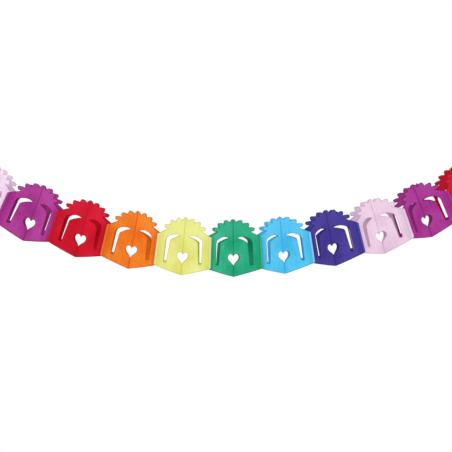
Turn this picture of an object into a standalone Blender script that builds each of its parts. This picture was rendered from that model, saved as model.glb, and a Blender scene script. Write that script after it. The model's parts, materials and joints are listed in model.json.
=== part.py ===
"""A paper garland of folded, die-cut units that open and close like a concertina.

Metres, +Z up, +X along the garland, -Y towards the viewer. The units hang on an arc. Each one is
two creased sheets bonded along their creases, so four leaves stand in an X seen from above. The
leaves of neighbouring units meet at their outer edges and swing about lines that all run to the
centre of the arc. The origin is the far end of the left hanging loop.
"""

import math

import bpy
from mathutils import Matrix, Vector
from mathutils.geometry import delaunay_2d_cdt

for old in list(bpy.data.objects):
    bpy.data.objects.remove(old, do_unlink=True)

# Size of one unit: the height of the cut shape on its crease, and the length of a leaf.
unit_height = 0.168
leaf_length = 0.0864
leaf_angle = math.radians(33)

# Radius of the hanging arc, from its centre to the lowest point of every crease.
arc_radius = 1.666
crease_radius = arc_radius - unit_height / 2

# Paper, glue and the play that lets the leaves swing without touching.
paper_thickness = 0.00025
hinge_clearance = 0.00015
edge_setback = 0.0003
bond_width = 0.0024
bond_thickness = 0.0008
bond_top_gap = 0.0015
bond_clearance = 0.0002
card_thickness = 0.001
merge_distance = 1e-9

# Hanging loops of thread at both end cards.
thread_diameter = 0.001
loop_reach = 0.085
loop_half_width = 0.006
stitch_height = 0.008
stitch_stand_off = 0.0007
thread_hole_radius = 0.0011

# The cut shape, as shares of the leaf's length and of the unit's height.
corner_height_share = 0.138
shoulder_height_share = 0.69
rosette_centre_share = 0.702
rosette_width_share = 0.84
neck_shares = (0.68, 0.775)
notch_depth_share = 0.185
petal_fullness = 1.6
lowest_petal_reach_share = 1.08
petal_angle = math.radians(22)
petals_beside_crease = 3
petal_steps = 10
heart_tip_share = 0.19
heart_top_share = 0.396
heart_width_share = 0.225
heart_steps = 18
stitch_height_share = 0.88
slot_outline_shares = (
    (0.615, 0.215),
    (0.715, 0.215),
    (0.72, 0.58),
    (0.683, 0.63),
    (0.57, 0.668),
    (0.43, 0.69),
    (0.29, 0.692),
    (0.165, 0.672),
    (0.29, 0.655),
    (0.42, 0.625),
    (0.53, 0.592),
    (0.56, 0.57),
)

# Colours run from left to right as on the garland; the outer two units are halves.
unit_colours = (
    ("pink_left", "D9B8D2"),
    ("purple_left", "A8359F"),
    ("red_left", "D8142E"),
    ("orange", "F06A10"),
    ("yellow", "E6E25A"),
    ("green", "10A868"),
    ("sky_blue", "40B4EE"),
    ("indigo", "3B2E9E"),
    ("pink_right", "E6C6DE"),
    ("purple_right", "A8359F"),
    ("red_right", "D8142E"),
)
centre_unit = len(unit_colours) // 2

hinge_depth = bond_width / 2 + bond_clearance + hinge_clearance + paper_thickness
hinge_depth_angle = hinge_depth / crease_radius
leaf_span_angle = leaf_length / crease_radius


def leaf_directions(angle):
    """Unit vectors from the arc's centre along a front right leaf's two hinge lines."""
    near = Vector((0, -math.sin(hinge_depth_angle), -math.cos(hinge_depth_angle)))
    forward = Vector((0, -math.cos(hinge_depth_angle), math.sin(hinge_depth_angle)))
    along = math.cos(angle) * Vector((1, 0, 0)) + math.sin(angle) * forward
    far = math.cos(leaf_span_angle) * near + math.sin(leaf_span_angle) * along
    return near, along, far


near_line, leaf_course, far_line = leaf_directions(leaf_angle)
half_pitch_angle = math.atan2(far_line.x, -far_line.z)
unit_angles = [2 * half_pitch_angle * (k - centre_unit) for k in range(len(unit_colours))]


def unit_turn(unit):
    """The turn about the arc's centre that brings the lowest unit to this one's place."""
    return Matrix.Rotation(-unit_angles[unit], 4, "Y")


# The far end of the left loop, seen from the arc's centre, is where the origin goes.
stitch_radius = arc_radius - stitch_height_share * unit_height
card_outer_face = hinge_clearance + card_thickness
loop_end = Vector((-card_outer_face - loop_reach, 0, -stitch_radius))
origin = unit_turn(0) @ loop_end


def material(name, hexadecimal, roughness):
    made = bpy.data.materials.new(name)
    made.use_nodes = True
    colour = []
    for channel in range(3):
        value = int(hexadecimal[2 * channel : 2 * channel + 2], 16) / 255
        colour.append(value / 12.92 if value <= 0.04045 else ((value + 0.055) / 1.055) ** 2.4)
    surface = made.node_tree.nodes["Principled BSDF"]
    surface.inputs["Base Color"].default_value = (*colour, 1)
    surface.inputs["Roughness"].default_value = roughness
    return made


def rosette_points():
    """The petals, from the neck beside the shoulder up to the crease."""
    centre = rosette_centre_share * unit_height
    reach = rosette_width_share * leaf_length
    rise = unit_height - centre
    points = [(neck_shares[0] * leaf_length, neck_shares[1] * unit_height)]
    steps = int((petals_beside_crease + 0.5) * petal_steps)
    for i in range(1, steps + 1):
        below_top = petals_beside_crease + 0.5 - i / petal_steps
        from_tip = 2 * abs((i / petal_steps) % 1 - 0.5)
        drawn_in = 1 - notch_depth_share * from_tip**petal_fullness
        drawn_in *= 1 + (lowest_petal_reach_share - 1) * (below_top / petals_beside_crease) ** 2
        angle = math.pi / 2 - petal_angle * below_top
        points.append((reach * drawn_in * math.cos(angle), centre + rise * drawn_in * math.sin(angle)))
    points[-1] = (0, unit_height)
    return points


def heart_points():
    """Half of the heart, from its notch on the crease round to its tip."""
    low = heart_tip_share * unit_height
    tall = (heart_top_share - heart_tip_share) * unit_height
    wide = heart_width_share * leaf_length
    points = []
    for i in range(heart_steps + 1):
        turn = math.pi * (i / heart_steps) ** 0.8
        rise = 13 * math.cos(turn) - 5 * math.cos(2 * turn) - 2 * math.cos(3 * turn) - math.cos(4 * turn)
        points.append((wide * math.sin(turn) ** 3, low + tall * (rise + 17) / 29))
    points[0] = (0, points[0][1])
    points[-1] = (0, low)
    return points


def cut_shape():
    """The outline of one leaf and its slot, as points (distance from the crease, height)."""
    outline = [(0, 0), (leaf_length, corner_height_share * unit_height)]
    outline.append((leaf_length, shoulder_height_share * unit_height))
    outline += rosette_points()
    outline += heart_points()
    slot = [(x * leaf_length, z * unit_height) for x, z in slot_outline_shares]
    return outline, slot


def inside(point, loop):
    hit = False
    for (x1, z1), (x2, z2) in zip(loop, loop[1:] + loop[:1]):
        if (z1 > point[1]) != (z2 > point[1]):
            hit ^= point[0] < x1 + (point[1] - z1) * (x2 - x1) / (z2 - z1)
    return hit


def turned(loop, anticlockwise):
    area = sum(x1 * z2 - x2 * z1 for (x1, z1), (x2, z2) in zip(loop, loop[1:] + loop[:1]))
    return loop if (area > 0) == anticlockwise else loop[::-1]


def triangles_between(loops):
    """Triangles inside the first loop and outside the others."""
    loops = [turned(loop, i == 0) for i, loop in enumerate(loops)]
    points = [Vector(p) for loop in loops for p in loop]
    edges = []
    start = 0
    for loop in loops:
        edges += [(start + i, start + (i + 1) % len(loop)) for i in range(len(loop))]
        start += len(loop)
    flat, _, faces, _, _, _ = delaunay_2d_cdt(points, edges, [], 0, merge_distance)
    kept = []
    for face in faces:
        middle = [sum(flat[i][axis] for i in face) / 3 for axis in range(2)]
        if inside(middle, loops[0]) and not any(inside(middle, hole) for hole in loops[1:]):
            kept.append(tuple(face))
    return points, edges, kept


def solid(name, vertices, faces, colour, place):
    """One closed object with its faces turned outwards."""
    volume = 0
    for face in faces:
        for i in range(1, len(face) - 1):
            a, b, c = vertices[face[0]], vertices[face[i]], vertices[face[i + 1]]
            volume += a.dot(b.cross(c))
    if volume < 0:
        faces = [tuple(reversed(face)) for face in faces]
    mesh = bpy.data.meshes.new(name)
    mesh.from_pydata([tuple(v) for v in vertices], [], faces)
    mesh.validate()
    mesh.materials.append(colour)
    made = bpy.data.objects.new(name, mesh)
    made.matrix_world = place
    bpy.context.scene.collection.objects.link(made)
    return made


def plate(loops, point_at):
    """A thin plate: both faces of the flat shape and its cut edges."""
    points, edges, faces = triangles_between(loops)
    count = len(points)
    vertices = [point_at(p, side) for side in (1, -1) for p in points]
    closed = list(faces)
    closed += [tuple(i + count for i in reversed(face)) for face in faces]
    closed += [(b, a, a + count, b + count) for a, b in edges]
    return vertices, closed


def leaf_point(place, side):
    """A point of a front right leaf, seen from the middle of its crease hinge."""
    share = edge_setback / leaf_length + place[0] / leaf_length * (1 - 2 * edge_setback / leaf_length)
    turn = leaf_span_angle * share
    radial = math.cos(turn) * near_line + math.sin(turn) * leaf_course
    outward = near_line.cross(leaf_course)
    drift = (2 * share - 1) * (hinge_clearance + paper_thickness / 2)
    at = (arc_radius - place[1]) * radial + (drift + side * paper_thickness / 2) * front_sign * outward
    return at - crease_radius * near_line


front_sign = 1 if near_line.cross(leaf_course).y < 0 else -1
outline, slot = cut_shape()
leaf_vertices, leaf_faces = plate([outline, slot], leaf_point)


def mirrored(vertices, across, front):
    return [Vector((v.x * across, v.y * front, v.z)) for v in vertices]


def add_leaf(unit, across, front):
    """across is 1 for a leaf that runs right and -1 for left; front is 1 or, for the back, -1."""
    colour_name, _ = unit_colours[unit]
    name = colour_name + ("_front" if front > 0 else "_back") + ("_right" if across > 0 else "_left") + "_leaf"
    hinge = Vector((0, near_line.y * crease_radius * front, near_line.z * crease_radius))
    place = Matrix.Translation(-origin) @ unit_turn(unit) @ Matrix.Translation(hinge)
    solid(name, mirrored(leaf_vertices, across, front), leaf_faces, papers[unit], place)


def add_bond(unit):
    """The glued stretch of the two creases above the heart."""
    low = heart_points()[0][1] + bond_top_gap
    high = unit_height - bond_top_gap
    corners = []
    for height in (low, high):
        for x in (-bond_thickness / 2, bond_thickness / 2):
            for y in (-bond_width / 2, bond_width / 2):
                corners.append(Vector((x, y, -arc_radius + height)))
    faces = [(0, 1, 3, 2), (4, 6, 7, 5), (0, 4, 5, 1), (2, 3, 7, 6), (0, 2, 6, 4), (1, 5, 7, 3)]
    middle = Vector((0, 0, -crease_radius))
    corners = [c - middle for c in corners]
    place = Matrix.Translation(-origin) @ unit_turn(unit) @ Matrix.Translation(middle)
    solid(unit_colours[unit][0] + "_crease_bond", corners, faces, papers[unit], place)


def circle(centre, radius, steps):
    turns = [2 * math.pi * i / steps for i in range(steps)]
    return [(centre[0] + radius * math.cos(t), centre[1] + radius * math.sin(t)) for t in turns]


def add_card(unit, outer):
    """A stiff end card with the whole cut outline and two small holes for the thread."""
    half = [(x, z) for x, z in [(0, 0)] + outline[1:3] + rosette_points()]
    whole = half + [(-x, z) for x, z in reversed(half[1:-1])]
    heart = heart_points()
    heart_loop = heart + [(-x, z) for x, z in reversed(heart[1:-1])]
    middle_height = stitch_height_share * unit_height
    holes = [circle((0, middle_height + s * stitch_height / 2), thread_hole_radius, 8) for s in (-1, 1)]

    def card_point(place, side):
        depth = card_outer_face if side > 0 else hinge_clearance
        return Vector((outer * depth, place[0], place[1] - unit_height / 2))

    vertices, faces = plate([whole, heart_loop] + holes, card_point)
    place = Matrix.Translation(-origin) @ unit_turn(unit) @ Matrix.Translation((0, 0, -crease_radius))
    name = ("left" if outer < 0 else "right") + "_end_card"
    solid(name, vertices, faces, cards, place)


def add_loop(unit, outer):
    """Thread through both holes of the card: two runs that meet in a round end."""
    half_stitch = stitch_height / 2
    inner = -stitch_stand_off
    end = card_outer_face + loop_reach - thread_diameter / 2
    bend = thread_diameter
    upper = [(inner - bend, 0)]
    for i in range(4):
        turn = math.pi / 2 * (i + 0.5) / 4
        upper.append((inner - bend * math.cos(turn), half_stitch - bend * (1 - math.sin(turn))))
    upper.append((card_outer_face + thread_diameter, half_stitch))
    runs = 6
    straight = end - loop_half_width - card_outer_face - thread_diameter
    for i in range(1, runs + 1):
        share = i / runs
        width = half_stitch + (loop_half_width - half_stitch) * (3 * share**2 - 2 * share**3)
        upper.append((card_outer_face + thread_diameter + straight * share, width))
    for i in range(1, 5):
        turn = math.pi / 2 * i / 4
        upper.append((end - loop_half_width * (1 - math.sin(turn)), loop_half_width * math.cos(turn)))
    course = upper + [(x, -z) for x, z in reversed(upper[1:-1])]
    sides = 6
    vertices = []
    for i, (x, z) in enumerate(course):
        before, after = course[i - 1], course[(i + 1) % len(course)]
        ahead = Vector((after[0] - before[0], 0, after[1] - before[1])).normalized()
        beside = ahead.cross(Vector((0, 1, 0)))
        for j in range(sides):
            turn = 2 * math.pi * j / sides
            ring = beside * math.cos(turn) + Vector((0, 1, 0)) * math.sin(turn)
            at = Vector((x, 0, z)) + ring * thread_diameter / 2
            vertices.append(Vector((outer * at.x, at.y, at.z)))
    faces = []
    for i in range(len(course)):
        following = (i + 1) % len(course)
        for j in range(sides):
            k = (j + 1) % sides
            faces.append((i * sides + j, i * sides + k, following * sides + k, following * sides + j))
    place = Matrix.Translation(-origin) @ unit_turn(unit) @ Matrix.Translation((0, 0, -stitch_radius))
    solid(("left" if outer < 0 else "right") + "_hanging_loop", vertices, faces, threads, place)


papers = [material("tissue_" + name, colour, 0.8) for name, colour in unit_colours]
cards = material("card_white", "EDEBE6", 0.7)
threads = material("thread_white", "F2F0EA", 0.8)

last_unit = len(unit_colours) - 1
for unit in range(len(unit_colours)):
    for front in (1, -1):
        if unit < last_unit:
            add_leaf(unit, 1, front)
        if unit > 0:
            add_leaf(unit, -1, front)
    if 0 < unit < last_unit:
        add_bond(unit)
add_card(0, -1)
add_card(last_unit, 1)
add_loop(0, -1)
add_loop(last_unit, 1)
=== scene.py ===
"""The looks of a paper garland: eleven die-cut tissue units in rainbow colours on a hanging arc.

Metres, +X along the garland, -Y towards the viewer, +Z up. The origin is the far end of the left
hanging loop. Each unit is two creased sheets bonded at the crease, so four leaves stand in an X.
"""

import json
import math

import bpy
import numpy as np
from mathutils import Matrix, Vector
from mathutils.geometry import delaunay_2d_cdt


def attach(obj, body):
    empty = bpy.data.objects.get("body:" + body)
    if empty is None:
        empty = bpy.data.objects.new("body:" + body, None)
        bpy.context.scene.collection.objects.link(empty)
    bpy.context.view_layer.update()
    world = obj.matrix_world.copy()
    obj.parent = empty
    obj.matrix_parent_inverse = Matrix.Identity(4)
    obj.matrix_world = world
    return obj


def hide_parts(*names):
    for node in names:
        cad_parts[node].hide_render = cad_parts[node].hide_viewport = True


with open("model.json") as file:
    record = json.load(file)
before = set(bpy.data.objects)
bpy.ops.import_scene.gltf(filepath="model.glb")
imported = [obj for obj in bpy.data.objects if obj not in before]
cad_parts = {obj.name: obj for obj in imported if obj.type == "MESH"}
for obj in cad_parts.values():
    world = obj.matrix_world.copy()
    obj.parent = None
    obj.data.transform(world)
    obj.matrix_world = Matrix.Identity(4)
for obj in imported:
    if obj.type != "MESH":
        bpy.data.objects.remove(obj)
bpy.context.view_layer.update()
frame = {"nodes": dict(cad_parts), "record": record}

# The hanging arc. The garland's creases all point to one centre high above it, and every unit is the
# lowest one turned about that centre.
arc_centre = np.array([0.74877948, 0, 1.32346549])
arc_radius = 1.666


def placed(points, angle):
    """Points seen from the arc's centre, with the lowest unit straight below it, turned by the angle:
    x' = x cos a - z sin a and z' = x sin a + z cos a, then moved to the centre's place."""
    x, y, z = np.moveaxis(np.asarray(points, float), -1, 0)
    c, s = math.cos(angle), math.sin(angle)
    return np.stack([x * c - z * s, y, x * s + z * c], -1) + arc_centre


# The photographer's place. A level camera stands 1.9 m in front of the garland, a little left of its
# middle. It is turned about the arc's centre by under half a degree, as the garland hung in the picture.
garland_lean = 0.0076
camera_yaw = math.radians(-5.03)
camera_place = np.array([-0.1759, -1.895, 0.148 - arc_radius])
across = np.array([math.cos(camera_yaw), math.sin(camera_yaw), 0])
ahead = np.array([-math.sin(camera_yaw), math.cos(camera_yaw), 0])
camera = bpy.data.objects.new("camera", bpy.data.cameras.new("camera"))
camera.data.lens = 52.14
camera.data.sensor_width = 36
camera.data.clip_start = 0.05
axes = placed([across, [0, 0, 1], -ahead, camera_place], -garland_lean)
axes[:3] -= arc_centre
for row in range(3):
    for column in range(3):
        camera.matrix_world[row][column] = axes[column][row]
    camera.matrix_world[row][3] = axes[3][row]
bpy.context.scene.collection.objects.link(camera)
bpy.context.scene.camera = camera

# Hanging thread. White cotton thread, three plies twisted together, about 1 mm thick. It goes through
# two holes punched in each end card, is knotted on the inner side, and its loop reaches 85 mm to a hook
# just outside the picture. Cotton thread is matt; its ply tops are painted paler as painted highlight and the grooves
# between them darker as painted shade.
unit_height = 0.168
leaf_length = 0.0864
leaf_angle = math.radians(33)
crease_radius = arc_radius - unit_height / 2
hinge_depth = 0.0018
card_inner_face = 0.00015
card_outer_face = 0.00115
card_middle = card_inner_face + (card_outer_face - card_inner_face) / 2
stitch_height_share = 0.88
stitch_radius = arc_radius - stitch_height_share * unit_height
stitch_height = 0.008
loop_reach = 0.085
loop_half_width = 0.006
run_points = 30
round_end_points = 17
thread_diameter = 0.001
thread_sides = 12
ply_length = 0.0032
ply_depth_share = 0.16
loop_step = 0.0009
stitch_step = 0.0003
stitch_stand_off = 0.0007
stitch_bend_radius = 0.001
stitch_bend_points = 7
knot_size = 0.00042
knot_depth_share = 0.9
knot_set_in = 0.0021
knotted_radius_share = 0.42
knot_start = 0.35
knot_overlap = 0.1
knot_points = 60
knot_sides = 10

# The leaf's lines as directions from the arc's centre. The near line is the crease, a hinge depth in front of the
# middle plane. The leaf runs off along its course, and the far line is its glued border, half a pitch further on.
crease_lean = hinge_depth / crease_radius
near_line = np.array([0, -math.sin(crease_lean), -math.cos(crease_lean)])
forward = np.array([0, -math.cos(crease_lean), math.sin(crease_lean)])
leaf_course = math.cos(leaf_angle) * np.array([1, 0, 0]) + math.sin(leaf_angle) * forward
leaf_span = leaf_length / crease_radius
far_line = math.cos(leaf_span) * near_line + math.sin(leaf_span) * leaf_course
half_pitch = math.atan2(far_line[0], -far_line[2])
unit_names = ("pink_left", "purple_left", "red_left", "orange", "yellow", "green")
unit_names += ("sky_blue", "indigo", "pink_right", "purple_right", "red_right")
middle_unit = len(unit_names) // 2
last_unit = len(unit_names) - 1


def unit_angle(unit):
    """How far a unit is turned about the arc's centre: one pitch for each unit away from the middle one."""
    return 2 * half_pitch * (unit - middle_unit)


def srgb(hexadecimal):
    """A hex colour as linear red, green, blue and alpha: each channel over 12.92 when dark, else
    ((c + 0.055) / 1.055) to the power 2.4."""
    shares = np.array([int(hexadecimal[i : i + 2], 16) for i in (0, 2, 4)]) / 255
    linear = np.where(shares <= 0.04045, shares / 12.92, ((shares + 0.055) / 1.055) ** 2.4)
    return (*linear.tolist(), 1)


def node(tree, kind, settings=(), **inputs):
    """Adds a node, sets its properties, and fills or links its inputs by name or, as i0, by number."""
    made = tree.nodes.new(kind)
    for name, value in dict(settings).items():
        setattr(made, name, value)
    for name, value in inputs.items():
        numbered = name[0] == "i" and name[1:].isdigit()
        socket = made.inputs[int(name[1:]) if numbered else name.replace("_", " ")]
        if isinstance(value, bpy.types.NodeSocket):
            tree.links.new(value, socket)
        else:
            socket.default_value = value
    return made


def grey(value):
    """A linear grey with full alpha."""
    return (value, value, value, 1)


def new_material(name):
    """A material whose node tree is still empty, and that tree."""
    made = bpy.data.materials.new(name)
    made.use_nodes = True
    made.node_tree.nodes.clear()
    return made, made.node_tree


def cotton_thread():
    """Twisted cotton. The UV map's u runs once round the thread and v along it in metres: the ply lines are a cosine
    of three times u plus the twist, and noise of 0.4 mm stands for the loose fluff. The ply tops are painted paler
    as painted highlight and the grooves between them darker as painted shade."""
    made, tree = new_material("cotton_thread")
    uv = node(tree, "ShaderNodeUVMap", {"uv_map": "laid"}).outputs[0]
    plies = node(tree, "ShaderNodeMapping", Vector=uv, Scale=(3, 1 / ply_length, 1)).outputs[0]
    parts = node(tree, "ShaderNodeSeparateXYZ", Vector=plies).outputs
    phase = node(tree, "ShaderNodeMath", {"operation": "ADD"}, i0=parts[0], i1=parts[1]).outputs[0]
    turn = node(tree, "ShaderNodeMath", {"operation": "MULTIPLY"}, i0=phase, i1=2 * math.pi).outputs[0]
    wave = node(tree, "ShaderNodeMath", {"operation": "COSINE"}, i0=turn).outputs[0]
    ridge = node(tree, "ShaderNodeMapRange", i0=wave, i1=-1.0, i2=1.0, i3=0.0, i4=1.0).outputs[0]
    place = node(tree, "ShaderNodeTexCoord").outputs["Object"]
    fluff = node(tree, "ShaderNodeTexNoise", Vector=place, Scale=2500.0, Detail=3.0).outputs[0]
    mixed = node(tree, "ShaderNodeMath", {"operation": "MULTIPLY_ADD"}, i0=fluff, i1=0.35, i2=ridge).outputs[0]
    raised = node(tree, "ShaderNodeMapRange", i0=mixed, i1=0.1, i2=0.9, i3=0.0, i4=1.0).outputs[0]
    # Painted shade in the grooves between the plies and painted highlight on the ply tops, set by the ply pattern.
    groove_shade, ply_top_highlight = srgb("BDB8AB"), srgb("E6E2D8")
    colour = node(tree, "ShaderNodeMix", {"data_type": "RGBA"}, i0=raised, i6=groove_shade, i7=ply_top_highlight).outputs[2]
    bump = node(tree, "ShaderNodeBump", Strength=0.6, Distance=0.0001, Height=mixed).outputs[0]
    surface = node(tree, "ShaderNodeBsdfPrincipled", Roughness=0.85, Base_Color=colour, Normal=bump)
    surface.inputs["Sheen Weight"].default_value = 0.25
    node(tree, "ShaderNodeOutputMaterial", Surface=surface.outputs[0])
    return made


def add_piece(name, points, faces, uv, material, smooth=True, cut=None):
    """A mesh object from arrays: points in place, faces as rows of corners, one UV pair a point and, for a die-cut
    sheet, each point's distance from the nearest cut edge."""
    mesh = bpy.data.meshes.new(name)
    mesh.from_pydata(np.asarray(points).tolist(), [], [row.tolist() for row in faces])
    corners = np.empty(len(mesh.loops), np.int32)
    mesh.loops.foreach_get("vertex_index", corners)
    layer = mesh.uv_layers.new(name="laid")
    layer.data.foreach_set("uv", np.asarray(uv, np.float32)[corners].ravel())
    if cut is not None:
        mesh.attributes.new("cut", "FLOAT", "POINT").data.foreach_set("value", np.asarray(cut, np.float32))
    mesh.polygons.foreach_set("use_smooth", np.full(len(mesh.polygons), smooth))
    mesh.set_sharp_from_angle(angle=math.radians(50))
    mesh.materials.append(material)
    made = bpy.data.objects.new(name, mesh)
    bpy.context.scene.collection.objects.link(made)
    return made


def tube(path, aside, radius, sides, twist=0.0, ply_depth=0.0):
    """A round section carried along a path, with both ends closed. Ring points are the path plus radius times
    (aside x tangent) cos a + binormal sin a. With plies, the radius dips by the ply depth between three strands that
    turn with the length."""
    path = np.asarray(path, float)
    tangent = np.gradient(path, axis=0)
    tangent /= np.linalg.norm(tangent, axis=1, keepdims=True)
    aside = np.broadcast_to(aside, path.shape)
    first = np.cross(aside, tangent)
    first /= np.linalg.norm(first, axis=1, keepdims=True)
    second = np.cross(tangent, first)
    length = np.concatenate([[0], np.cumsum(np.linalg.norm(np.diff(path, axis=0), axis=1))])
    turn = np.linspace(0, 2 * math.pi, sides, endpoint=False)
    ply = np.cos(3 * turn[None, :] + twist * length[:, None])
    reach = radius * (1 - ply_depth * (0.5 - 0.5 * ply))
    spokes = first[:, None] * np.cos(turn)[:, None] + second[:, None] * np.sin(turn)[:, None]
    ring = path[:, None] + reach[..., None] * spokes
    rows, columns = np.meshgrid(np.arange(len(path) - 1), np.arange(sides), indexing="ij")
    beside = (columns + 1) % sides
    here, onward = rows * sides, (rows + 1) * sides
    walls = np.stack([here + columns, here + beside, onward + beside, onward + columns], -1).reshape(-1, 4)
    count = len(path) * sides
    around, following = np.arange(sides), (np.arange(sides) + 1) % sides
    start = np.stack([following, around, np.full(sides, count)], -1)
    end = np.stack([around, following, np.full(sides, count)], -1) + (len(path) - 1) * sides
    end[:, 2] = count + 1
    points = np.concatenate([ring.reshape(-1, 3), path[:1], path[-1:]])
    u, v = np.meshgrid(turn / (2 * math.pi), length, indexing="xy")
    uv = np.concatenate([np.stack([u, v], -1).reshape(-1, 2), [[0, 0], [0, length[-1]]]])
    return points, [*walls, *start, *end], uv


def resampled(path, step):
    """The same path with its points an even step apart, by linear interpolation on its length."""
    length = np.concatenate([[0], np.cumsum(np.linalg.norm(np.diff(path, axis=0), axis=1))])
    even = np.linspace(0, length[-1], max(2, round(length[-1] / step) + 1))
    return np.stack([np.interp(even, length, path[:, axis]) for axis in range(3)], -1), length[-1]


def loop_course(outer):
    """One run of thread out from the upper hole, its round end, and the run back into the lower hole.
    The runs widen by a smooth step, 3 t^2 - 2 t^3, from the holes to the round end."""
    half = stitch_height / 2
    end = card_outer_face + loop_reach - thread_diameter / 2
    bend_start = end - loop_half_width
    share = np.linspace(0, 1, run_points)
    run_x = card_middle + (bend_start - card_middle) * share
    spread = bend_start - card_outer_face - thread_diameter
    grown = np.clip((run_x - card_outer_face - thread_diameter) / spread, 0, 1)
    run_z = half + (loop_half_width - half) * (3 * grown**2 - 2 * grown**3)
    turn = np.linspace(math.pi / 2, -math.pi / 2, round_end_points)[1:-1]
    x = np.concatenate([run_x, bend_start + loop_half_width * np.cos(turn), run_x[::-1]])
    z = np.concatenate([run_z, loop_half_width * np.sin(turn), -run_z[::-1]])
    return np.stack([outer * x, 0 * x, z - stitch_radius], -1)


def stitch_course(outer):
    """The short stretch through the card: from one hole to the other on the inner side, rounded at both bends."""
    half = stitch_height / 2
    turn = np.linspace(math.pi / 2, 0, stitch_bend_points)
    x = np.concatenate([[card_middle], -stitch_stand_off - stitch_bend_radius * np.cos(turn)])
    z = np.concatenate([[half], half - stitch_bend_radius + stitch_bend_radius * np.sin(turn)])
    x = np.concatenate([x, x[::-1]])
    z = np.concatenate([z, -z[::-1]])
    return np.stack([outer * x, 0 * x, z - stitch_radius], -1)


def knot_course(outer):
    """An overhand knot, drawn tight on the inner stretch: a trefoil, sin t + 2 sin 2t across, cos t - 2 cos 2t in
    height and sin 3t in depth."""
    t = np.linspace(knot_start, 2 * math.pi + knot_overlap, knot_points)
    x = knot_size * knot_depth_share * np.sin(3 * t)
    y = knot_size * (np.sin(t) + 2 * np.sin(2 * t))
    z = knot_size * (np.cos(t) - 2 * np.cos(2 * t))
    return np.stack([outer * (x - knot_set_in), y, z - stitch_radius], -1)


thread_material = cotton_thread()
thread_radius = thread_diameter / 2
ply_twist = 2 * math.pi / ply_length
for unit, side, outer in ((0, "left", -1), (last_unit, "right", 1)):
    angle = unit_angle(unit)
    turned_aside = placed([[0, 1, 0]], angle)[0] - arc_centre
    course, course_length = resampled(placed(loop_course(outer), angle), loop_step)
    laid = tube(course, turned_aside, thread_radius, thread_sides, ply_twist, ply_depth_share)
    loop = add_piece(side + "_loop_thread", *laid, thread_material)
    stitch_path = resampled(placed(stitch_course(outer), angle), stitch_step)[0]
    laid = tube(stitch_path, turned_aside, thread_radius, thread_sides, ply_twist, ply_depth_share)
    stitch = add_piece(side + "_loop_stitch", *laid, thread_material)
    knot_path = placed(knot_course(outer), angle)
    knot_middle = placed([[-knot_set_in * outer, 0, -stitch_radius]], angle)[0]
    laid = tube(knot_path, knot_path - knot_middle, thread_diameter * knotted_radius_share, knot_sides)
    knot = add_piece(side + "_loop_knot", *laid, thread_material)
    for piece in (loop, stitch, knot):
        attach(piece, side + "_end")
    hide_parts(side + "_hanging_loop")

# End cards. White paperboard about 1 mm thick, die-cut to the outline of a whole unit with its heart.
# Uncoated board is matt and warm white, with a faint mottle where its fibres crowd.
board, tree = new_material("white_paperboard")
place = node(tree, "ShaderNodeTexCoord").outputs["Object"]
mottle = node(tree, "ShaderNodeTexNoise", Vector=place, Scale=420.0, Detail=5.0, Roughness=0.6).outputs[0]
cloud = node(tree, "ShaderNodeTexNoise", Vector=place, Scale=45.0, Detail=2.0).outputs[0]
both = node(tree, "ShaderNodeMath", {"operation": "MULTIPLY_ADD"}, i0=cloud, i1=0.5, i2=mottle).outputs[0]
fibre_share = node(tree, "ShaderNodeMapRange", i0=both, i1=0.5, i2=1.0, i3=0.0, i4=1.0).outputs[0]
shaded, bare = srgb("D0CDC5"), srgb("DEDBD4")
colour = node(tree, "ShaderNodeMix", {"data_type": "RGBA"}, i0=fibre_share, i6=shaded, i7=bare).outputs[2]
dull = node(tree, "ShaderNodeMapRange", i0=mottle, i1=0.3, i2=0.7, i3=0.62, i4=0.8).outputs[0]
bump = node(tree, "ShaderNodeBump", Strength=0.25, Distance=0.0002, Height=mottle).outputs[0]
surface = node(tree, "ShaderNodeBsdfPrincipled", Base_Color=colour, Roughness=dull, Normal=bump)
node(tree, "ShaderNodeOutputMaterial", Surface=surface.outputs[0])
for side in ("left", "right"):
    card = frame["nodes"][side + "_end_card"]
    card.data.materials.clear()
    card.data.materials.append(board)

# Tissue leaves. Thin dyed tissue paper, die-cut in a stack, so every leaf has the same outline: a gift
# box with a petalled bow, half a heart on the crease and an arched slot. A leaf is about 0.1 mm thick,
# lies nearly flat, and is cockled a little between its glued edges. Its hinge lines sit a little to each side of
# the sheet, so it drifts by the hinge drift from the middle to the border, and as much the other way to the crease.
tissue_thickness = 0.00012
see_through_share = 0.3
hinge_drift = 0.000275
corner_height = 0.138 * unit_height
shoulder_height = 0.69 * unit_height
neck = np.array([0.68 * leaf_length, 0.775 * unit_height])
rosette_centre = 0.702 * unit_height
rosette_reach = 0.84 * leaf_length
petal_angle = math.radians(22)
petals_beside_crease = 3
neck_turn = 0.125
petal_points = 55
notch_depth = 0.185
petal_fullness = 1.6
lowest_petal_growth = 0.08
heart_tip = 0.19 * unit_height
heart_top = 0.396 * unit_height
heart_half_width = 0.225 * leaf_length
heart_points = 26
heart_crowding = 0.8
slot_reach_share = 0.4
lap_width = 0.0065
lap_lean = math.radians(10)
lap_end_setback = 0.0035
lap_fold_gap = 0.0001
lap_rim_gap = 0.0002
lap_rows = 24
# The flat pattern's grid has nearly equilateral triangles, and its points keep clear of the cut edges.
grid_step = 0.0034
row_share = 0.87
clear_share = 0.55
merge_distance = 1e-7
# The cockle: the height of a wave, how it is held at the glued edges, its radians a metre, and the bow's curl.
wave_lift = 0.00022
wave_hold = 0.8
waves_across = (25, 75)
waves_up = (-60, 60)
bow_curl = (0.0002, 0.0012)


def between(start, end, step):
    """Even points from start up to, but without, the end: start + (end - start) t."""
    start, end = np.array(start, float), np.array(end, float)
    count = max(1, round(np.linalg.norm(end - start) / step))
    return start + (end - start) * (np.arange(count) / count)[:, None]


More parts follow.
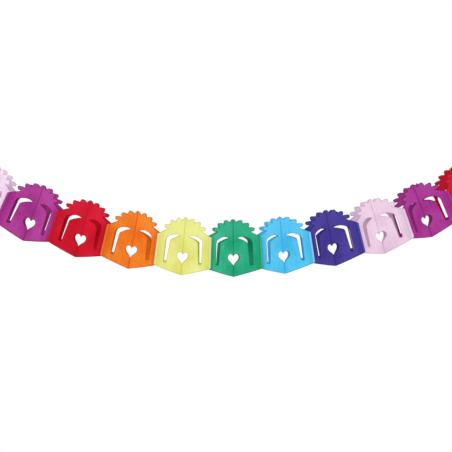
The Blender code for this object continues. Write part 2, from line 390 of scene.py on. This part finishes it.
def bow_edge():
    """The petals, from the neck up to the crease: an ellipse whose reach is drawn in, towards each notch, by the
    notch depth times a power of the distance in angle from the petal's tip, and grows with the square of the way
    down."""
    turn = np.linspace(neck_turn, petals_beside_crease + 0.5, petal_points)
    below_top = petals_beside_crease + 0.5 - turn
    reach = 1 - notch_depth * (2 * np.abs(turn % 1 - 0.5)) ** petal_fullness
    reach = reach * (1 + lowest_petal_growth * (below_top / petals_beside_crease) ** 2)
    angle = math.pi / 2 - petal_angle * below_top
    rise = rosette_centre + (unit_height - rosette_centre) * reach * np.sin(angle)
    edge = np.stack([rosette_reach * reach * np.cos(angle), rise], -1)
    edge[-1] = (0, unit_height)
    return np.concatenate([neck[None], edge])


def heart_edge():
    """Half a heart from its notch to its tip: sin^3 across, and 13 cos t - 5 cos 2t - 2 cos 3t - cos 4t in height."""
    t = math.pi * np.linspace(0, 1, heart_points) ** heart_crowding
    rise = 13 * np.cos(t) - 5 * np.cos(2 * t) - 2 * np.cos(3 * t) - np.cos(4 * t)
    edge = np.stack([heart_half_width * np.sin(t) ** 3, heart_tip + (heart_top - heart_tip) * (rise + 17) / 29], -1)
    edge[0, 0] = 0
    edge[-1] = (0, heart_tip)
    return edge


slot_corner_shares = np.array([
    (0.615, 0.215), (0.715, 0.215), (0.72, 0.58), (0.683, 0.63), (0.57, 0.668), (0.43, 0.69),
    (0.29, 0.692), (0.165, 0.672), (0.29, 0.655), (0.42, 0.625), (0.53, 0.592), (0.56, 0.57),
])


def slot_corners(along, up, lean):
    """The arched slot. Its upright bar moves along the leaf, by a share of the leaf's length, and the pointed inner
    end stays: x' = x + along times the way from that end to the bar, at most 1. The bar's lower end moves on by the
    lean, another share of the length, and all of it moves up by a share of the height."""
    x, z = slot_corner_shares.T
    x = x + along * np.clip((x - x.min()) / slot_reach_share, 0, 1) + lean * (z == z.min())
    return np.stack([x * leaf_length, (z + up) * unit_height], -1)


def is_inside(points, loop):
    """Even-odd rule: a point is inside when a ray to its left crosses the loop an odd number of times."""
    x1, z1 = loop.T
    x2, z2 = np.roll(loop, -1, 0).T
    x, z = points[:, :1], points[:, 1:]
    straddles = (z1 > z) != (z2 > z)
    run = np.where(z2 == z1, 1, z2 - z1)
    return (straddles & (x < x1 + (z - z1) * (x2 - x1) / run)).sum(1) % 2 == 1


def distance_to(points, starts, ends):
    """Least distance from each point to any of the segments: the point less its nearest point on one, which is
    start + t (end - start) with t from 0 to 1."""
    run = ends - starts
    t = np.clip(((points[:, None] - starts) * run).sum(-1) / (run**2).sum(-1), 0, 1)
    return np.linalg.norm(points[:, None] - starts - t[..., None] * run, axis=-1).min(1)


def cut_pattern(with_lap, slot_shift):
    """The flat leaf: points (distance from the crease, height), triangles, and each point's distance from a cut edge.
    The cut edges and a grid between them are joined by a Delaunay mesh."""
    bow = bow_edge()
    heart = heart_edge()
    corner, shoulder = (leaf_length, corner_height), (leaf_length, shoulder_height)
    border = [between(corner, shoulder, grid_step)]
    if with_lap:
        low = (leaf_length + lap_width, corner_height + lap_end_setback)
        high = (leaf_length + lap_width, shoulder_height - lap_end_setback)
        border = [between(a, b, grid_step) for a, b in ((corner, low), (low, high), (high, shoulder))]
    outline = np.concatenate([
        between((0, 0), corner, grid_step), *border, between(shoulder, bow[0], grid_step), bow[:-1],
        between((0, unit_height), heart[0], grid_step), heart[:-1], between(heart[-1], (0, 0), grid_step)])
    corners = slot_corners(*slot_shift)
    slot = np.concatenate([between(a, b, grid_step) for a, b in zip(corners, np.roll(corners, -1, 0))])
    fold = between(corner, shoulder, grid_step)[1:]
    columns = np.arange(grid_step, leaf_length + lap_width, grid_step)
    x, z = np.meshgrid(columns, np.arange(grid_step, unit_height, grid_step * row_share))
    x = x + (np.arange(len(x)) % 2)[:, None] * grid_step / 2
    grid = np.stack([x.ravel(), z.ravel()], -1)
    edges = np.concatenate([outline, slot, fold])
    apart = np.linalg.norm(grid[:, None] - edges[None], axis=2).min(1) > clear_share * grid_step
    grid = grid[apart & is_inside(grid, outline) & ~is_inside(grid, slot)]
    flat = np.concatenate([outline, slot, fold, grid]) if with_lap else np.concatenate([outline, slot, grid])
    loops = [np.stack([np.arange(len(loop)), np.roll(np.arange(len(loop)), -1)], -1) for loop in (outline, slot)]
    loops[1] += len(outline)
    starts, ends = flat[np.concatenate(loops)].transpose(1, 0, 2)
    creased = (starts[:, 0] <= 0) & (ends[:, 0] <= 0)
    glued = (starts[:, 0] >= leaf_length) & (ends[:, 0] >= leaf_length) & (not with_lap)
    cut = distance_to(flat, starts[~(creased | glued)], ends[~(creased | glued)])
    if with_lap:
        first = len(outline) + len(slot)
        fold_ends = [int(np.argmin(np.linalg.norm(outline - end, axis=1))) for end in (corner, shoulder)]
        chain = np.array([fold_ends[0], *range(first, first + len(fold)), fold_ends[1]])
        loops.append(np.stack([chain[:-1], chain[1:]], -1))
    sides = np.concatenate(loops).tolist()
    faces = np.array(delaunay_2d_cdt([Vector(p) for p in flat.tolist()], sides, [], 0, merge_distance)[2])
    middles = flat[faces].mean(1)
    return flat, faces[is_inside(middles, outline) & ~is_inside(middles, slot)], cut


def on_leaf(x, z, lift):
    """A point of a front right leaf seen from the arc's centre. It runs from the crease line to the border line by
    cos(e s) near + sin(e s) course, where s is x over the leaf's length; past the border it is a lap that leans
    forward. The lift moves it off the sheet, towards the viewer."""
    share = np.minimum(x / leaf_length, 1)
    turn = (leaf_span * share)[:, None]
    radial = np.cos(turn) * near_line + np.sin(turn) * leaf_course
    outward = np.cross(leaf_course, near_line)
    outward = outward * (-1 if outward[1] > 0 else 1)
    edge_course = math.cos(leaf_span) * leaf_course - math.sin(leaf_span) * near_line
    lap_course = math.cos(lap_lean) * edge_course + math.sin(lap_lean) * outward
    lap_out = math.cos(lap_lean) * outward - math.sin(lap_lean) * edge_course
    beyond = np.maximum(x - leaf_length, 0)[:, None]
    drift = ((2 * share - 1) * hinge_drift)[:, None]
    facing = np.where(beyond > 0, lap_out, outward)
    return (arc_radius - z)[:, None] * radial + drift * outward + beyond * lap_course + lift[:, None] * facing


def cockle(x, z, seed):
    """How far the tissue lifts: three long sine waves, together at most 0.7 mm, that fade to nothing at the crease
    and the border, and a curl of at most 0.3 mm that grows with the square of the way up the bow."""
    chance = np.random.default_rng(seed)
    share = np.clip(x / leaf_length, 0, 1)
    held = (4 * share * (1 - share)) ** wave_hold
    waves = 0
    for _ in range(3):
        across_wave, up_wave = chance.uniform(*waves_across), chance.uniform(*waves_up)
        waves = waves + np.sin(across_wave * x + up_wave * z + chance.uniform(0, 2 * math.pi))
    bow = np.clip((z - shoulder_height) / (unit_height - shoulder_height), 0, 1)
    curl = chance.uniform(*bow_curl) * bow**2 * share
    curl = curl * np.sin(4 * math.pi * share + chance.uniform(0, 2 * math.pi))
    return held * waves * wave_lift + curl * (1 - share)


def two_sided(points_at, flat, faces):
    """A thin closed sheet: the pattern at half a thickness to each side, and quads round every edge that only one
    triangle has."""
    count = len(flat)
    points = np.concatenate([points_at(tissue_thickness / 2), points_at(-tissue_thickness / 2)])
    sides = np.concatenate([faces[:, [0, 1]], faces[:, [1, 2]], faces[:, [2, 0]]])
    _, index, times = np.unique(np.sort(sides, 1), axis=0, return_inverse=True, return_counts=True)
    rim = sides[times[index.ravel()] == 1]
    rims = np.stack([rim[:, 1], rim[:, 0], rim[:, 0] + count, rim[:, 1] + count], -1)
    rows = [*faces, *(faces[:, ::-1] + count), *rims]
    a, b, c = points[np.concatenate([faces, faces[:, ::-1] + count])].transpose(1, 0, 2)
    middle = points.mean(0)
    volume = np.einsum("ij,ij->i", a - middle, np.cross(b - middle, c - middle)).sum()
    return points, rows if volume > 0 else [row[::-1] for row in rows], np.tile(flat, (2, 1))


def dyed_tissue(name, shade, deep, glow, pale):
    """Dyed tissue paper, matt and a little see-through. The UV map is the flat pattern in metres: noise gives its
    cloudy formation of about 8 mm, fine fibres of 0.6 mm and faint upright streaks, over patches of 60 mm. The
    bow is lighter, and towards its border the leaf is deepened as painted shade and coloured reflection where it
    closes in on the neighbouring leaves. Beside the crease the tissue is deepened partly by paste and partly as
    painted shade of the crease's hollow, the die-cut edges partly by the die's press and partly as painted shade
    of the back petals that show past the front ones, and the border fold, creased flat, is deepened too. A dry
    film of paste makes the laps paler."""
    made, tree = new_material(name)
    uv = node(tree, "ShaderNodeUVMap", {"uv_map": "laid"}).outputs[0]
    parts = node(tree, "ShaderNodeSeparateXYZ", Vector=uv).outputs
    cloud = node(tree, "ShaderNodeTexNoise", Vector=uv, Scale=120.0, Detail=3.0, Roughness=0.55).outputs[0]
    place = node(tree, "ShaderNodeTexCoord").outputs["Object"]
    patches = node(tree, "ShaderNodeTexNoise", Vector=place, Scale=16.0, Detail=1.0).outputs[0]
    fibre_space = node(tree, "ShaderNodeMapping", Vector=uv, Rotation=(0, 0, 0.35), Scale=(1400, 520, 1)).outputs[0]
    fine = {"Scale": 1.0, "Detail": 4.0, "Roughness": 0.65, "Distortion": 0.6}
    fibres = node(tree, "ShaderNodeTexNoise", Vector=fibre_space, **fine).outputs[0]
    streak_space = node(tree, "ShaderNodeMapping", Vector=uv, Scale=(260, 14, 1)).outputs[0]
    streaks = node(tree, "ShaderNodeTexNoise", Vector=streak_space, Scale=1.0, Detail=2.0).outputs[0]
    body = node(tree, "ShaderNodeMath", {"operation": "MULTIPLY_ADD"}, i0=cloud, i1=0.55, i2=fibres).outputs[0]
    body = node(tree, "ShaderNodeMath", {"operation": "MULTIPLY_ADD"}, i0=streaks, i1=0.45, i2=body).outputs[0]
    body = node(tree, "ShaderNodeMath", {"operation": "ADD"}, i0=patches, i1=body).outputs[0]
    dense = node(tree, "ShaderNodeMapRange", i0=body, i1=1.1, i2=1.5, i3=0.0, i4=1.0).outputs[0]
    sparse = node(tree, "ShaderNodeMapRange", i0=body, i1=1.5, i2=1.9, i3=0.0, i4=1.0).outputs[0]
    tint = node(tree, "ShaderNodeMix", {"data_type": "RGBA"}, i0=dense, i6=deep, i7=shade).outputs[2]
    tint = node(tree, "ShaderNodeMix", {"data_type": "RGBA"}, i0=sparse, i6=tint, i7=glow).outputs[2]
    soft = {"interpolation_type": "SMOOTHSTEP"}
    # Painted shade: darker beside the crease, partly for the paste there and partly for the shade in the crease's
    # hollow.
    crease = node(tree, "ShaderNodeMapRange", soft, i0=parts[0], i1=0.0008, i2=0.0024, i3=0.6, i4=0.0).outputs[0]
    edge_distance = node(tree, "ShaderNodeAttribute", {"attribute_name": "cut"}).outputs["Fac"]
    # Darker along the die-cut edges: partly the die's press, partly painted shade of the back petals that show past
    # the front ones.
    edge_press_and_shade = node(
        tree, "ShaderNodeMapRange", soft, i0=edge_distance, i1=0.0006, i2=0.0024, i3=0.9, i4=0.0).outputs[0]
    off_border = node(tree, "ShaderNodeMath", {"operation": "SUBTRACT"}, i0=parts[0], i1=leaf_length).outputs[0]
    off_border = node(tree, "ShaderNodeMath", {"operation": "ABSOLUTE"}, i0=off_border).outputs[0]
    bent = node(tree, "ShaderNodeMapRange", soft, i0=off_border, i1=0.0003, i2=0.0012, i3=0.5, i4=0.0).outputs[0]
    paste_press_and_shade = node(tree, "ShaderNodeMath", {"operation": "MAXIMUM"}, i0=crease, i1=edge_press_and_shade).outputs[0]
    paste_press_and_shade = node(tree, "ShaderNodeMath", {"operation": "MAXIMUM"}, i0=paste_press_and_shade, i1=bent).outputs[0]
    # Painted shade and painted coloured reflection: the leaf deepens towards its border, where it closes in on the
    # neighbouring leaves.
    outer = node(
        tree, "ShaderNodeMapRange", soft, i0=parts[0], i1=0.7 * leaf_length, i2=leaf_length, i3=0.0, i4=0.6).outputs[0]
    tint = node(tree, "ShaderNodeMix", {"data_type": "RGBA"}, i0=outer, i6=tint, i7=deep).outputs[2]
    low, high = 0.6 * unit_height, 0.78 * unit_height
    in_bow = node(tree, "ShaderNodeMapRange", soft, i0=parts[1], i1=low, i2=high, i3=0.0, i4=0.4).outputs[0]
    tint = node(tree, "ShaderNodeMix", {"data_type": "RGBA"}, i0=in_bow, i6=tint, i7=glow).outputs[2]
    twice = {"data_type": "RGBA", "blend_type": "MULTIPLY"}
    # The deep colour of paste, the die's press and painted shade, used at the crease, the cut edges and the border
    # fold.
    paste_and_shade_colour = node(tree, "ShaderNodeMix", twice, i0=1.0, i6=deep, i7=shade).outputs[2]
    tint = node(tree, "ShaderNodeMix", {"data_type": "RGBA"}, i0=paste_press_and_shade, i6=tint, i7=paste_and_shade_colour).outputs[2]
    low, high = leaf_length + 0.0002, leaf_length + 0.0008
    pasted = node(tree, "ShaderNodeMapRange", i0=parts[0], i1=low, i2=high, i3=0.0, i4=0.6).outputs[0]
    colour = node(tree, "ShaderNodeMix", {"data_type": "RGBA"}, i0=pasted, i6=tint, i7=pale).outputs[2]
    dull = node(tree, "ShaderNodeMapRange", i0=fibres, i1=0.3, i2=0.7, i3=0.7, i4=0.88).outputs[0]
    cockled = node(tree, "ShaderNodeBump", Strength=0.35, Distance=0.0006, Height=cloud).outputs[0]
    bump = node(tree, "ShaderNodeBump", Strength=0.3, Distance=0.00008, Height=fibres, Normal=cockled).outputs[0]
    facing = node(tree, "ShaderNodeBsdfPrincipled", Base_Color=colour, Roughness=dull, Normal=bump)
    facing.inputs["Specular IOR Level"].default_value = 0.2
    through = node(tree, "ShaderNodeBsdfTranslucent", Color=colour, Normal=bump)
    paper = node(tree, "ShaderNodeMixShader", i0=see_through_share, i1=facing.outputs[0], i2=through.outputs[0])
    node(tree, "ShaderNodeOutputMaterial", Surface=paper.outputs[0])
    return made


# A dye for each unit: its usual colour, the deeper one where fibres crowd, the lighter one between them, and
# the pale one of its pasted laps.
dyes = {
    "pink_left": ("F4E4F4", "E4CBE3", "F2E4F2", "F8F1F8"),
    "purple_left": ("B33A98", "9B1A81", "C04FAB", "BB4CAB"),
    "red_left": ("D60A2D", "BD041F", "DF2143", "DD1E3C"),
    "orange": ("EE801B", "DA610A", "F19D3B", "EF912A"),
    "yellow": ("E6E687", "DADA6B", "EDEFA9", "F0F2CC"),
    "green": ("24B286", "109C6B", "4AC4A2", "5AC8A4"),
    "sky_blue": ("5ACDEE", "39B6E6", "6ED2F0", "B6E6F2"),
    "indigo": ("4C3E9D", "3A2F8C", "5C4EAE", "6458BB"),
    "pink_right": ("E9D0E2", "DABED5", "F3E2EF", "F4E9F2"),
    "purple_right": ("AF3698", "9B1D84", "BA4AA9", "B647A7"),
    "red_right": ("D30A2A", "BA041E", "DC2140", "DA1E39"),
}
tissues = {name: dyed_tissue("tissue_" + name, *[srgb(shade) for shade in dyes[name]]) for name in unit_names}
bodies = frame["record"]["behaviour"]["bodies"]
body_of_node = {member: body for body, members in bodies.items() for member in members}
# The sheets were not glued quite evenly, so each back leaf's slot sits off its front leaf's. For the left leaf
# and then the right leaf: along the leaf, up the leaf, and how much further along its lower end is.
back_slot_shift_shares = {
    "pink_left": ((0, 0, 0), (0, 0, 0)),
    "purple_left": ((0.14, 0, 0.015), (-0.01, 0.06, -0.06)),
    "red_left": ((0.015, 0, 0.035), (0.08, 0.065, 0)),
    "orange": ((0.03, 0, 0.02), (0.13, 0, 0)),
    "yellow": ((-0.015, 0, 0), (0.1, 0, -0.02)),
    "green": ((0.045, 0, -0.02), (-0.07, 0, 0)),
    "sky_blue": ((-0.01, 0, -0.045), (0.16, 0, 0)),
    "indigo": ((-0.05, 0, -0.075), (0.24, 0, 0.015)),
    "pink_right": ((-0.09, 0.065, 0), (0.05, 0, 0)),
    "purple_right": ((0.225, 0, 0), (0.22, 0, 0)),
    "red_right": ((0.215, -0.045, 0), (0, 0, 0)),
}
# The camera stands in front of this unit.
nearest_unit = unit_names.index("yellow")


def has_lap(unit, side):
    """A border's lap is drawn on the leaf that turns it to the camera: on the right leaves from the nearest unit
    rightwards, and on the left leaves from that unit leftwards."""
    return unit >= nearest_unit if side > 0 else unit <= nearest_unit


for unit, unit_name in enumerate(unit_names):
    for side in (1, -1):
        if not 0 <= unit + side <= last_unit:
            continue
        for front in (1, -1):
            name = unit_name + ("_front" if front > 0 else "_back") + ("_right" if side > 0 else "_left")
            shift = back_slot_shift_shares[unit_name][int(side > 0)] if front < 0 else (0, 0, 0)
            flat, faces, cut = cut_pattern(has_lap(unit, side), shift)
            lift = cockle(flat[:, 0], flat[:, 1], seed=40 * unit + 10 * (side + 1) + front + 1)
            mirror = np.array([side, front, 1])

            def on_unit(pattern, lift):
                """A flat pattern's points, lifted off the sheet, in this leaf's place."""
                return placed(on_leaf(pattern[:, 0], pattern[:, 1], lift) * mirror, unit_angle(unit))

            points, rows, uv = two_sided(lambda offset: on_unit(flat, lift + offset), flat, faces)
            leaf = add_piece(name + "_tissue", points, rows, uv, tissues[unit_name], cut=np.tile(cut, 2))
            body = body_of_node[name + "_leaf"]
            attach(leaf, body)
            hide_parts(name + "_leaf")
            if not has_lap(unit, side):
                continue
            # The neighbour's sheet folds at the border and lies behind the lap, pasted to it.
            neighbour = unit_names[unit + side]
            rows_up = np.linspace(corner_height + lap_end_setback, shoulder_height - lap_end_setback, lap_rows)
            columns = leaf_length + np.array([lap_fold_gap, lap_width / 2, lap_width - lap_rim_gap])
            z, x = np.meshgrid(rows_up, columns, indexing="ij")
            strip = np.stack([x.ravel(), z.ravel()], -1)
            behind = 1.5 * tissue_thickness
            first = (np.arange(len(rows_up) - 1)[:, None] * 3 + np.arange(2)).ravel()
            faces = np.concatenate([np.stack([first, first + a, first + b], -1) for a, b in ((1, 4), (4, 3))])
            still = np.zeros(len(strip))
            points, rows, uv = two_sided(lambda offset: on_unit(strip, offset - behind + still), strip, faces)
            cut = np.full(len(points), lap_width)
            backing = add_piece(name + "_lap_backing", points, rows, uv, tissues[neighbour], cut=cut)
            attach(backing, body)


# Creases. Each sheet is folded once, and a crease is a rounded line above and below the heart, drawn in the deep
# colour of tissue with paste in it: partly the paste that bonds the two folds, partly painted shade of the crease's
# hollow. Dried paste leaves the tissue deeper in colour and less matt.
fold_radius = 0.00035
fold_end_setback = 0.0006
bond_half_width = 0.0012
bond_half_thickness = 0.0004
bond_end_setback = 0.0015
fold_points = 12
fold_sides = 10


def pasted_and_shaded_tissue(name, deep):
    """Tissue with paste in it: the deep dye, mottled by noise of about 3 mm, at a roughness of 0.45 to 0.65.
    On the folds this deep colour is also painted shade of the crease's hollow.
    """
    made, tree = new_material(name)
    place = node(tree, "ShaderNodeTexCoord").outputs["Object"]
    blots = node(tree, "ShaderNodeTexNoise", Vector=place, Scale=330.0, Detail=3.0, Roughness=0.6).outputs[0]
    thin = node(tree, "ShaderNodeMapRange", i0=blots, i1=0.35, i2=0.65, i3=0.85, i4=1.0).outputs[0]
    colour = node(tree, "ShaderNodeMix", {"data_type": "RGBA"}, i0=thin, i6=grey(0), i7=deep).outputs[2]
    dull = node(tree, "ShaderNodeMapRange", i0=blots, i1=0.3, i2=0.7, i3=0.45, i4=0.65).outputs[0]
    bump = node(tree, "ShaderNodeBump", Strength=0.3, Distance=0.0001, Height=blots).outputs[0]
    surface = node(tree, "ShaderNodeBsdfPrincipled", Base_Color=colour, Roughness=dull, Normal=bump)
    node(tree, "ShaderNodeOutputMaterial", Surface=surface.outputs[0])
    return made


heart_notch = heart_edge()[0, 1]
stretches = {"lower": (0, heart_tip), "upper": (heart_notch, unit_height)}
for unit, unit_name in enumerate(unit_names):
    paste = pasted_and_shaded_tissue("pasted_and_shaded_tissue_" + unit_name, srgb(dyes[unit_name][1]))
    whole = 0 < unit < last_unit
    body = body_of_node[unit_name + "_crease_bond"] if whole else ("right_end" if unit else "left_end")
    if whole:
        bond = frame["nodes"][unit_name + "_crease_bond"]
        bond.data.materials.clear()
        bond.data.materials.append(paste)
    for stretch, (low, high) in stretches.items():
        rise = np.linspace(low + fold_end_setback, high - fold_end_setback, fold_points)
        for front in (1, -1):
            path = (arc_radius - rise)[:, None] * near_line - hinge_drift * math.cos(leaf_angle) * forward
            path = placed(path * [1, front, 1], unit_angle(unit))
            name = unit_name + ("_front_" if front > 0 else "_back_") + stretch + "_fold"
            # The fold's deep pasted colour is partly paste and partly painted shade of the crease's hollow.
            fold = add_piece(name, *tube(path, [0.6, 0.8, 0], fold_radius, fold_sides), paste)
            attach(fold, body)
        if whole and stretch == "upper":
            continue
        # The paste below the heart, and along the whole of an end card: a flat bead from fold to fold.
        reach = bond_half_width if whole else hinge_depth - fold_radius
        towards_card = 1 if unit else -1
        widths = (-bond_half_thickness, bond_half_thickness) if whole else sorted((0, card_inner_face * towards_card))
        ends = (low + bond_end_setback, high - bond_end_setback)
        box = placed([(x, y, z - arc_radius) for z in ends for x in widths for y in (-reach, reach)], unit_angle(unit))
        rows = np.array([(0, 1, 3, 2), (4, 6, 7, 5), (0, 4, 5, 1), (2, 3, 7, 6), (0, 2, 6, 4), (1, 5, 7, 3)])
        name = unit_name + "_" + stretch + "_paste"
        bead = add_piece(name, box, rows, np.zeros((8, 2)), paste, smooth=False)
        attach(bead, body)

# The studio. A pale floor well below, a plain wall behind and broad soft lamps, as for a picture cut out on white.
# The wall is a lit paper sweep: the camera sees it pure white, and it throws soft grey light on the garland.
floor_height = -1.6
floor_front = -6
floor_back = 6
wall_place = 1.7
wall_top = 3
left_end = -6
right_end = 8

paper_sweep, tree = new_material("studio_paper")
path_rays = node(tree, "ShaderNodeLightPath").outputs
camera_ray, glossy_ray, through_ray = (path_rays[f"Is {kind} Ray"] for kind in ("Camera", "Glossy", "Transmission"))
seen = node(tree, "ShaderNodeMath", {"operation": "MAXIMUM"}, i0=camera_ray, i1=glossy_ray).outputs[0]
seen = node(tree, "ShaderNodeMath", {"operation": "MAXIMUM"}, i0=seen, i1=through_ray).outputs[0]
matt = node(tree, "ShaderNodeBsdfDiffuse", Color=srgb("F4F4F4")).outputs[0]
white = node(tree, "ShaderNodeEmission", Color=grey(1), Strength=1.0).outputs[0]
sweep = node(tree, "ShaderNodeMixShader", i0=seen, i1=matt, i2=white).outputs[0]
node(tree, "ShaderNodeOutputMaterial", Surface=sweep)
pale_floor, tree = new_material("studio_floor")
matt = node(tree, "ShaderNodeBsdfDiffuse", Color=srgb("F4F4F4")).outputs[0]
node(tree, "ShaderNodeOutputMaterial", Surface=matt)
for name, (near, low), (far, high), material in (
    ("floor", (floor_front, floor_height), (floor_back, floor_height), pale_floor),
    ("wall", (wall_place, floor_height), (wall_place, wall_top), paper_sweep),
):
    corners = [(left_end, near, low), (right_end, near, low), (right_end, far, high), (left_end, far, high)]
    sheet = add_piece(name, corners, [np.arange(4)], np.zeros((4, 2)), material, smooth=False)


def add_lamp(name, place, aim, size, power):
    """A disk lamp that the camera doesn't see."""
    lamp = bpy.data.objects.new(name, bpy.data.lights.new(name, "AREA"))
    lamp.data.shape = "DISK"
    lamp.data.size = size
    lamp.data.energy = power
    lamp.location = place
    lamp.visible_camera = False
    lamp.rotation_euler = (Vector(aim) - Vector(place)).to_track_quat("-Z", "Y").to_euler()
    bpy.context.scene.collection.objects.link(lamp)


add_lamp("key", place=(-0.6, -2.4, 1.6), aim=(0.7, 0, -0.1), size=1.8, power=60)
add_lamp("fill", place=(2.4, -2.2, 0.6), aim=(0.8, 0, -0.1), size=1.8, power=30)
add_lamp("back", place=(0.6, 1.3, 1.9), aim=(0.75, 0, -0.15), size=1.6, power=18)
world = bpy.data.worlds.new("studio_air")
bpy.context.scene.world = world
world.use_nodes = True
world.node_tree.nodes["Background"].inputs["Color"].default_value = (1, 1, 1, 1)
world.node_tree.nodes["Background"].inputs["Strength"].default_value = 0.64
bpy.context.scene.view_settings.view_transform = "Standard"
